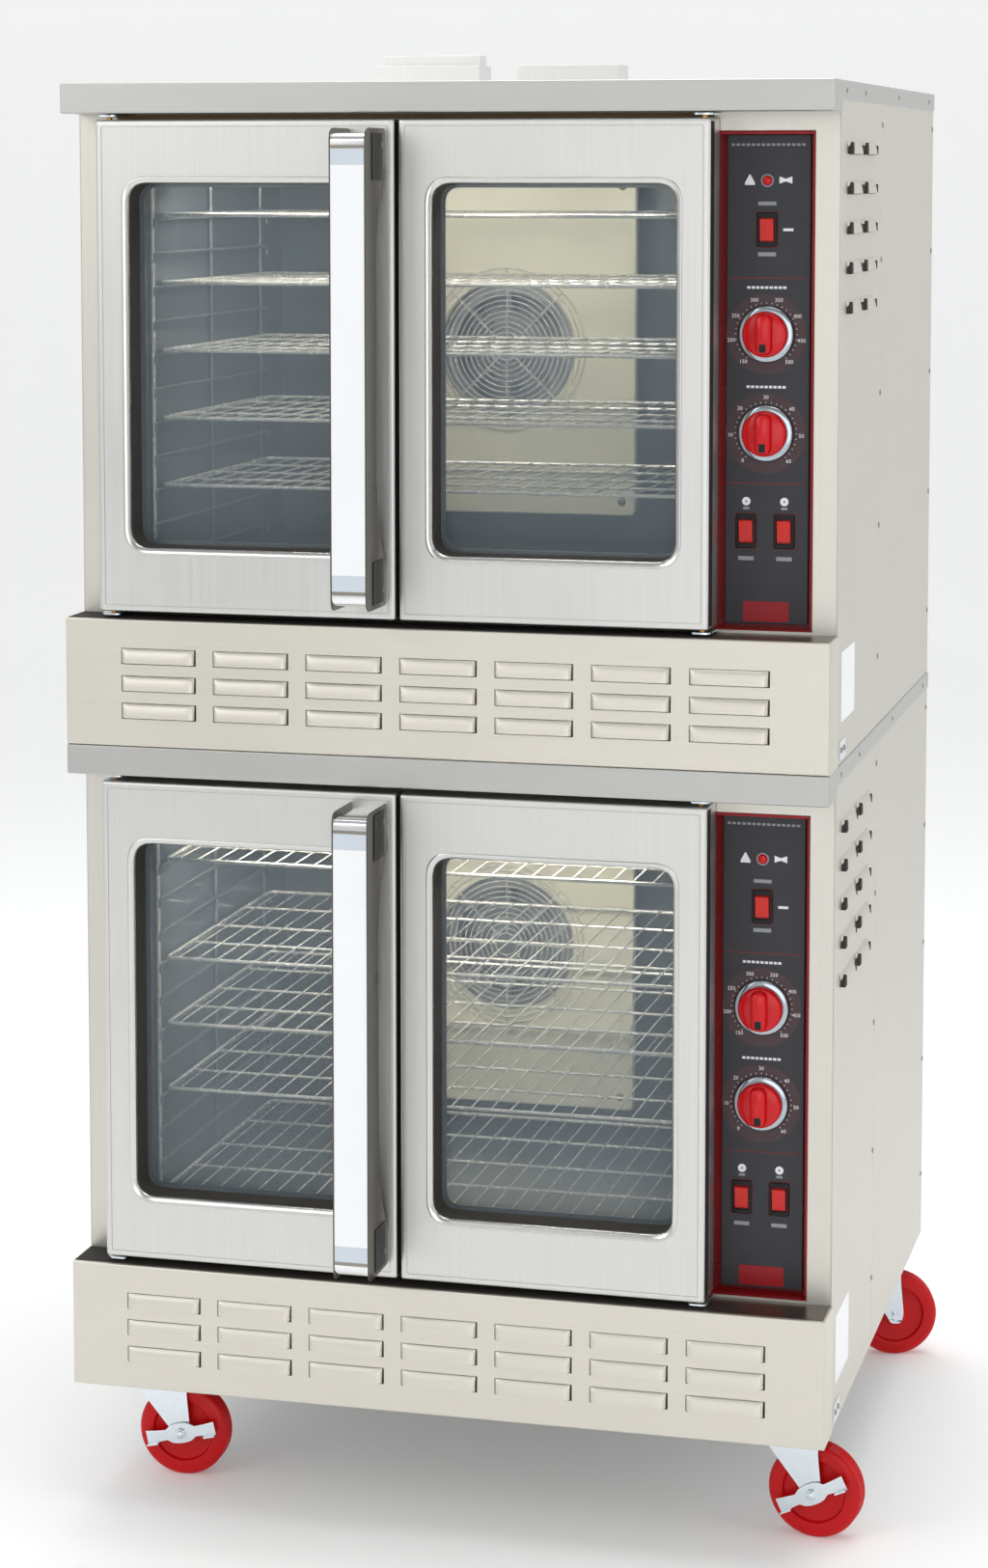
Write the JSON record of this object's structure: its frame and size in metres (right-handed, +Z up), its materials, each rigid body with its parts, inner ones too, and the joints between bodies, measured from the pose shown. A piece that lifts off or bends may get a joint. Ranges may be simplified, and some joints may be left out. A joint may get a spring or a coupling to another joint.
{
  "type": "stacked gas convection oven",
  "caption": "Stacked commercial gas convection oven: sheet-steel decks with glazed linked doors, wire racks, fan, knob and rocker controls, on a base with braked swivel casters.",
  "frame": {"origin": "middle of the whole width and depth, on the floor under the caster wheels", "axes": "+X to the right of a person facing the doors, +Y from the doors to the back, +Z up"},
  "size_m": [1.0798, 1.055, 1.9663],
  "materials": {
    "cabinet_steel": "horizontally brushed stainless steel, warm grey, satin",
    "door_steel": "fine vertical brushed stainless steel, satin, slight fingerprints",
    "door_glass": "dark grey-blue tempered double pane with a black border",
    "handle_chrome": "bright plated channel with a plain white face strip and dark end blocks",
    "panel_black": "charcoal overlay plate in a dark red enamelled tray",
    "knob_red": "red moulded knob with a bright ring",
    "rocker_red": "translucent red switch rocker",
    "liner_enamel": "grey porcelain enamel on steel",
    "baffle_steel": "pale beige enamelled steel",
    "fan_steel": "bare aluminised steel",
    "motor_paint": "black paint",
    "burner_iron": "raw cast iron with heat tint",
    "rack_chrome": "bright nickel-chrome wire",
    "caster_chrome": "bright zinc plate",
    "caster_urethane": "red polyurethane, semi-gloss",
    "frame_paint": "grey paint",
    "flue_steel": "plain mill finish stainless steel"
  },
  "bodies": {
    "root": {"base_frame": "frame_paint", "flue_vents": "flue_steel", "lower_cabinet": "cabinet_steel", "lower_top_cap": "cabinet_steel", "lower_skirt": "cabinet_steel", "lower_cavity": "liner_enamel", "lower_control_panel": "panel_black", "lower_fan_baffle": "baffle_steel", "lower_fan_motor": "motor_paint", "lower_burner": "burner_iron", "upper_cabinet": "cabinet_steel", "upper_top_cap": "cabinet_steel", "upper_skirt": "cabinet_steel", "upper_cavity": "liner_enamel", "upper_control_panel": "panel_black", "upper_fan_baffle": "baffle_steel", "upper_fan_motor": "motor_paint", "upper_burner": "burner_iron"},
    "lower_left_door": {"lower_door_left": "door_steel", "lower_glass_left": "door_glass", "lower_handle": "handle_chrome"},
    "lower_right_door": {"lower_door_right": "door_steel", "lower_glass_right": "door_glass"},
    "lower_temp_knob": {"lower_temp_knob": "knob_red"},
    "lower_timer_knob": {"lower_timer_knob": "knob_red"},
    "lower_rocker_power": {"lower_rocker_power": "rocker_red"},
    "lower_rocker_light": {"lower_rocker_light": "rocker_red"},
    "lower_rocker_fan": {"lower_rocker_fan": "rocker_red"},
    "lower_fan_wheel": {"lower_fan_wheel": "fan_steel"},
    "upper_left_door": {"upper_door_left": "door_steel", "upper_glass_left": "door_glass", "upper_handle": "handle_chrome"},
    "upper_right_door": {"upper_door_right": "door_steel", "upper_glass_right": "door_glass"},
    "upper_temp_knob": {"upper_temp_knob": "knob_red"},
    "upper_timer_knob": {"upper_timer_knob": "knob_red"},
    "upper_rocker_power": {"upper_rocker_power": "rocker_red"},
    "upper_rocker_light": {"upper_rocker_light": "rocker_red"},
    "upper_rocker_fan": {"upper_rocker_fan": "rocker_red"},
    "upper_fan_wheel": {"upper_fan_wheel": "fan_steel"},
    "front_left_fork": {"caster_fork_front_left": "caster_chrome"},
    "front_left_wheel": {"caster_wheel_front_left": "caster_urethane"},
    "front_left_brake": {"brake_lever_front_left": "caster_chrome"},
    "front_right_fork": {"caster_fork_front_right": "caster_chrome"},
    "front_right_wheel": {"caster_wheel_front_right": "caster_urethane"},
    "front_right_brake": {"brake_lever_front_right": "caster_chrome"},
    "rear_left_fork": {"caster_fork_rear_left": "caster_chrome"},
    "rear_left_wheel": {"caster_wheel_rear_left": "caster_urethane"},
    "rear_right_fork": {"caster_fork_rear_right": "caster_chrome"},
    "rear_right_wheel": {"caster_wheel_rear_right": "caster_urethane"},
    "lower_rack_1": {"lower_rack_1": "rack_chrome"},
    "lower_rack_2": {"lower_rack_2": "rack_chrome"},
    "lower_rack_3": {"lower_rack_3": "rack_chrome"},
    "lower_rack_4": {"lower_rack_4": "rack_chrome"},
    "lower_rack_5": {"lower_rack_5": "rack_chrome"},
    "upper_rack_1": {"upper_rack_1": "rack_chrome"},
    "upper_rack_2": {"upper_rack_2": "rack_chrome"},
    "upper_rack_3": {"upper_rack_3": "rack_chrome"},
    "upper_rack_4": {"upper_rack_4": "rack_chrome"},
    "upper_rack_5": {"upper_rack_5": "rack_chrome"}
  },
  "joints": [
    {"name": "lower_left_door_hinge", "type": "hinge", "parent": "root", "child": "lower_left_door", "pos_m": [-0.449, -0.4175, 0.348], "axis": [0, 0, -1], "range_deg": [0, 130]},
    {"name": "lower_right_door_hinge", "type": "hinge", "parent": "root", "child": "lower_right_door", "pos_m": [0.34, -0.4175, 0.348], "axis": [0, 0, 1], "range_deg": [0, 130]},
    {"name": "lower_temp_knob_turn", "type": "hinge", "parent": "root", "child": "lower_temp_knob", "pos_m": [0.409, -0.3555, 0.718], "axis": [0, 1, 0], "range_deg": [0, 270]},
    {"name": "lower_timer_knob_turn", "type": "hinge", "parent": "root", "child": "lower_timer_knob", "pos_m": [0.409, -0.3555, 0.592], "axis": [0, 1, 0], "range_deg": [0, 300]},
    {"name": "lower_rocker_power_tip", "type": "hinge", "parent": "root", "child": "lower_rocker_power", "pos_m": [0.409, -0.3565, 0.85], "axis": [-1, 0, 0], "range_deg": [0, 16]},
    {"name": "lower_rocker_light_tip", "type": "hinge", "parent": "root", "child": "lower_rocker_light", "pos_m": [0.3845, -0.3565, 0.467], "axis": [-1, 0, 0], "range_deg": [0, 16]},
    {"name": "lower_rocker_fan_tip", "type": "hinge", "parent": "root", "child": "lower_rocker_fan", "pos_m": [0.4335, -0.3565, 0.467], "axis": [-1, 0, 0], "range_deg": [0, 16]},
    {"name": "lower_fan_spin", "type": "hinge", "parent": "root", "child": "lower_fan_wheel", "pos_m": [-0.0545, 0.1795, 0.669], "axis": [0, 1, 0], "continuous": true},
    {"name": "upper_left_door_hinge", "type": "hinge", "parent": "root", "child": "upper_left_door", "pos_m": [-0.449, -0.4175, 1.2158], "axis": [0, 0, -1], "range_deg": [0, 130]},
    {"name": "upper_right_door_hinge", "type": "hinge", "parent": "root", "child": "upper_right_door", "pos_m": [0.34, -0.4175, 1.2158], "axis": [0, 0, 1], "range_deg": [0, 130]},
    {"name": "upper_temp_knob_turn", "type": "hinge", "parent": "root", "child": "upper_temp_knob", "pos_m": [0.409, -0.3555, 1.5858], "axis": [0, 1, 0], "range_deg": [0, 270]},
    {"name": "upper_timer_knob_turn", "type": "hinge", "parent": "root", "child": "upper_timer_knob", "pos_m": [0.409, -0.3555, 1.4598], "axis": [0, 1, 0], "range_deg": [0, 300]},
    {"name": "upper_rocker_power_tip", "type": "hinge", "parent": "root", "child": "upper_rocker_power", "pos_m": [0.409, -0.3565, 1.7178], "axis": [-1, 0, 0], "range_deg": [0, 16]},
    {"name": "upper_rocker_light_tip", "type": "hinge", "parent": "root", "child": "upper_rocker_light", "pos_m": [0.3845, -0.3565, 1.3348], "axis": [-1, 0, 0], "range_deg": [0, 16]},
    {"name": "upper_rocker_fan_tip", "type": "hinge", "parent": "root", "child": "upper_rocker_fan", "pos_m": [0.4335, -0.3565, 1.3348], "axis": [-1, 0, 0], "range_deg": [0, 16]},
    {"name": "upper_fan_spin", "type": "hinge", "parent": "root", "child": "upper_fan_wheel", "pos_m": [-0.0545, 0.1795, 1.5368], "axis": [0, 1, 0], "continuous": true},
    {"name": "front_left_swivel", "type": "hinge", "parent": "root", "child": "front_left_fork", "pos_m": [-0.44, -0.2875, 0.15], "axis": [0, 0, 1], "continuous": true},
    {"name": "front_left_roll", "type": "hinge", "parent": "front_left_fork", "child": "front_left_wheel", "pos_m": [-0.40402, -0.28624, 0.0631], "axis": [-0.0349, 0.9994, 0], "continuous": true},
    {"name": "front_left_brake_tip", "type": "hinge", "parent": "front_left_fork", "child": "front_left_brake", "pos_m": [-0.40402, -0.28624, 0.0631], "axis": [0.0349, -0.9994, 0], "range_deg": [-11, 13]},
    {"name": "front_right_swivel", "type": "hinge", "parent": "root", "child": "front_right_fork", "pos_m": [0.44, -0.2875, 0.15], "axis": [0, 0, 1], "continuous": true},
    {"name": "front_right_roll", "type": "hinge", "parent": "front_right_fork", "child": "front_right_wheel", "pos_m": [0.47573, -0.29189, 0.0631], "axis": [0.1219, 0.9925, 0], "continuous": true},
    {"name": "front_right_brake_tip", "type": "hinge", "parent": "front_right_fork", "child": "front_right_brake", "pos_m": [0.47573, -0.29189, 0.0631], "axis": [-0.1219, -0.9925, 0], "range_deg": [-24, 0]},
    {"name": "rear_left_swivel", "type": "hinge", "parent": "root", "child": "rear_left_fork", "pos_m": [-0.44, 0.4375, 0.15], "axis": [0, 0, 1], "continuous": true},
    {"name": "rear_left_roll", "type": "hinge", "parent": "rear_left_fork", "child": "rear_left_wheel", "pos_m": [-0.47545, 0.44375, 0.0631], "axis": [-0.1736, -0.9848, 0], "continuous": true},
    {"name": "rear_right_swivel", "type": "hinge", "parent": "root", "child": "rear_right_fork", "pos_m": [0.44, 0.4375, 0.15], "axis": [0, 0, 1], "continuous": true},
    {"name": "rear_right_roll", "type": "hinge", "parent": "rear_right_fork", "child": "rear_right_wheel", "pos_m": [0.47477, 0.44682, 0.0631], "axis": [-0.2588, 0.9659, 0], "continuous": true},
    {"name": "lower_rack_1_slide", "type": "slide", "parent": "root", "child": "lower_rack_1", "axis": [0, -1, 0], "range_m": [0, 0.04]},
    {"name": "lower_rack_2_slide", "type": "slide", "parent": "root", "child": "lower_rack_2", "axis": [0, -1, 0], "range_m": [0, 0.04]},
    {"name": "lower_rack_3_slide", "type": "slide", "parent": "root", "child": "lower_rack_3", "axis": [0, -1, 0], "range_m": [0, 0.04]},
    {"name": "lower_rack_4_slide", "type": "slide", "parent": "root", "child": "lower_rack_4", "axis": [0, -1, 0], "range_m": [0, 0.04]},
    {"name": "lower_rack_5_slide", "type": "slide", "parent": "root", "child": "lower_rack_5", "axis": [0, -1, 0], "range_m": [0, 0.04]},
    {"name": "upper_rack_1_slide", "type": "slide", "parent": "root", "child": "upper_rack_1", "axis": [0, -1, 0], "range_m": [0, 0.04]},
    {"name": "upper_rack_2_slide", "type": "slide", "parent": "root", "child": "upper_rack_2", "axis": [0, -1, 0], "range_m": [0, 0.04]},
    {"name": "upper_rack_3_slide", "type": "slide", "parent": "root", "child": "upper_rack_3", "axis": [0, -1, 0], "range_m": [0, 0.04]},
    {"name": "upper_rack_4_slide", "type": "slide", "parent": "root", "child": "upper_rack_4", "axis": [0, -1, 0], "range_m": [0, 0.04]},
    {"name": "upper_rack_5_slide", "type": "slide", "parent": "root", "child": "upper_rack_5", "axis": [0, -1, 0], "range_m": [0, 0.04]}
  ],
  "couplings": [
    {"joint": "lower_right_door_hinge", "follows": "lower_left_door_hinge", "ratio": 1},
    {"joint": "upper_right_door_hinge", "follows": "upper_left_door_hinge", "ratio": 1}
  ]
}
